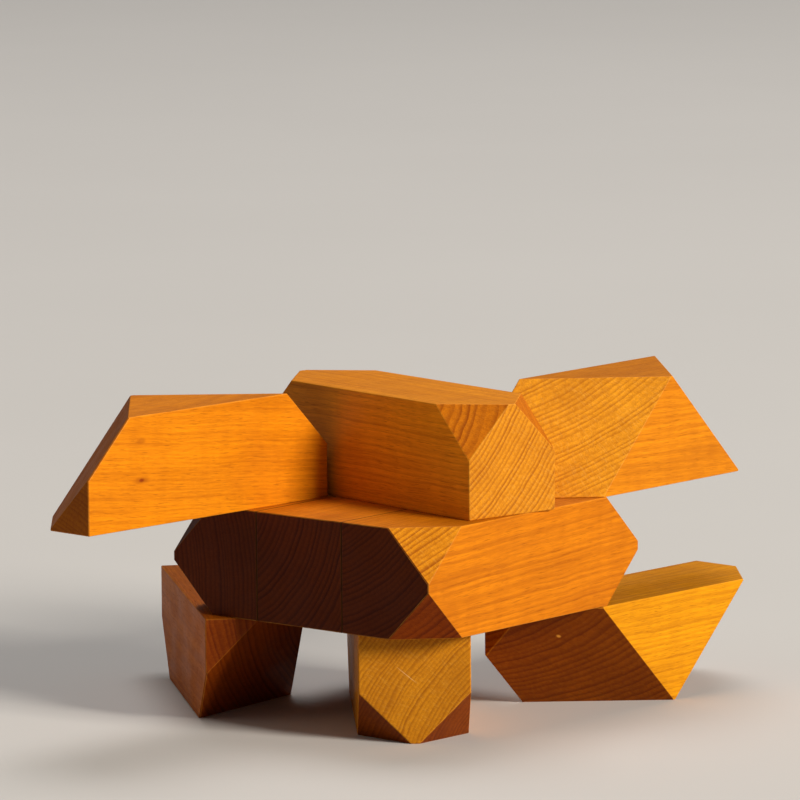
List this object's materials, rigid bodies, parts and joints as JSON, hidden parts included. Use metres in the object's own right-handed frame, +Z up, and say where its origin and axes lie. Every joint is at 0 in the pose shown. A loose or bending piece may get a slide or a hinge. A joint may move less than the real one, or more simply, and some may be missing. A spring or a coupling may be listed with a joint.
{
  "type": "magnetic wooden block figure",
  "caption": "Animal-like figure stacked from faceted wooden bars that pack into a corner-sawn cube; hidden magnets hold the blocks, which swivel, slide apart or lift off",
  "frame": {"origin": "on the floor, in the middle of the front leg's foot, under the middle of the body", "axes": "+X to the figure's right as it is looked at, towards the tail's end; +Y to its back; +Z up"},
  "size_m": [0.2512, 0.1808, 0.12],
  "materials": {
    "oiled_wood": "satin",
    "magnet": "polished"
  },
  "bodies": {
    "middle_body": {"middle_body_block": "oiled_wood", "middle_body_block_magnet_above": "magnet", "middle_body_block_magnet_below": "magnet", "middle_body_block_magnet_left_front": "magnet", "middle_body_block_magnet_left_rear": "magnet", "middle_body_block_magnet_right_front": "magnet", "middle_body_block_magnet_right_rear": "magnet"},
    "left_body": {"left_body_block": "oiled_wood", "left_body_block_magnet_above": "magnet", "left_body_block_magnet_below": "magnet", "left_body_block_magnet_right_front": "magnet", "left_body_block_magnet_right_rear": "magnet"},
    "right_body": {"right_body_block": "oiled_wood", "right_body_block_magnet_above": "magnet", "right_body_block_magnet_below": "magnet", "right_body_block_magnet_left_front": "magnet", "right_body_block_magnet_left_rear": "magnet"},
    "head": {"head_block": "oiled_wood", "head_block_magnet_below": "magnet"},
    "back": {"back_block": "oiled_wood", "back_block_magnet_below": "magnet"},
    "tail": {"tail_block": "oiled_wood", "tail_block_magnet_below": "magnet"},
    "left_leg": {"left_leg_block": "oiled_wood", "left_leg_block_magnet_above": "magnet"},
    "front_leg": {"front_leg_block": "oiled_wood", "front_leg_block_magnet_above": "magnet"},
    "right_leg": {"right_leg_block": "oiled_wood", "right_leg_block_magnet_above": "magnet"}
  },
  "joints": [
    {"name": "left_body_slide", "type": "slide", "parent": "middle_body", "child": "left_body", "axis": [-0.766, 0.6428, 0], "range_m": [0, 0.05]},
    {"name": "right_body_slide", "type": "slide", "parent": "middle_body", "child": "right_body", "axis": [0.766, -0.6428, 0], "range_m": [0, 0.05]},
    {"name": "head_lift", "type": "slide", "parent": "left_body", "child": "head", "axis": [0, 0, 1], "range_m": [0, 0.05]},
    {"name": "back_lift", "type": "slide", "parent": "middle_body", "child": "back", "axis": [0, 0, 1], "range_m": [0, 0.05]},
    {"name": "tail_lift", "type": "slide", "parent": "right_body", "child": "tail", "axis": [0, 0, 1], "range_m": [0, 0.05]},
    {"name": "left_leg_swivel", "type": "hinge", "parent": "left_body", "child": "left_leg", "pos_m": [-0.05635, -0.00493, 0.04], "axis": [0, 0, 1], "range_deg": [-5, 120]},
    {"name": "front_leg_swivel", "type": "hinge", "parent": "middle_body", "child": "front_leg", "pos_m": [0, 0, 0.04], "axis": [0, 0, 1], "range_deg": [-25, 15]},
    {"name": "right_leg_swivel", "type": "hinge", "parent": "right_body", "child": "right_leg", "pos_m": [0.05635, 0.00493, 0.04], "axis": [0, 0, 1], "range_deg": [-90, 30]}
  ]
}
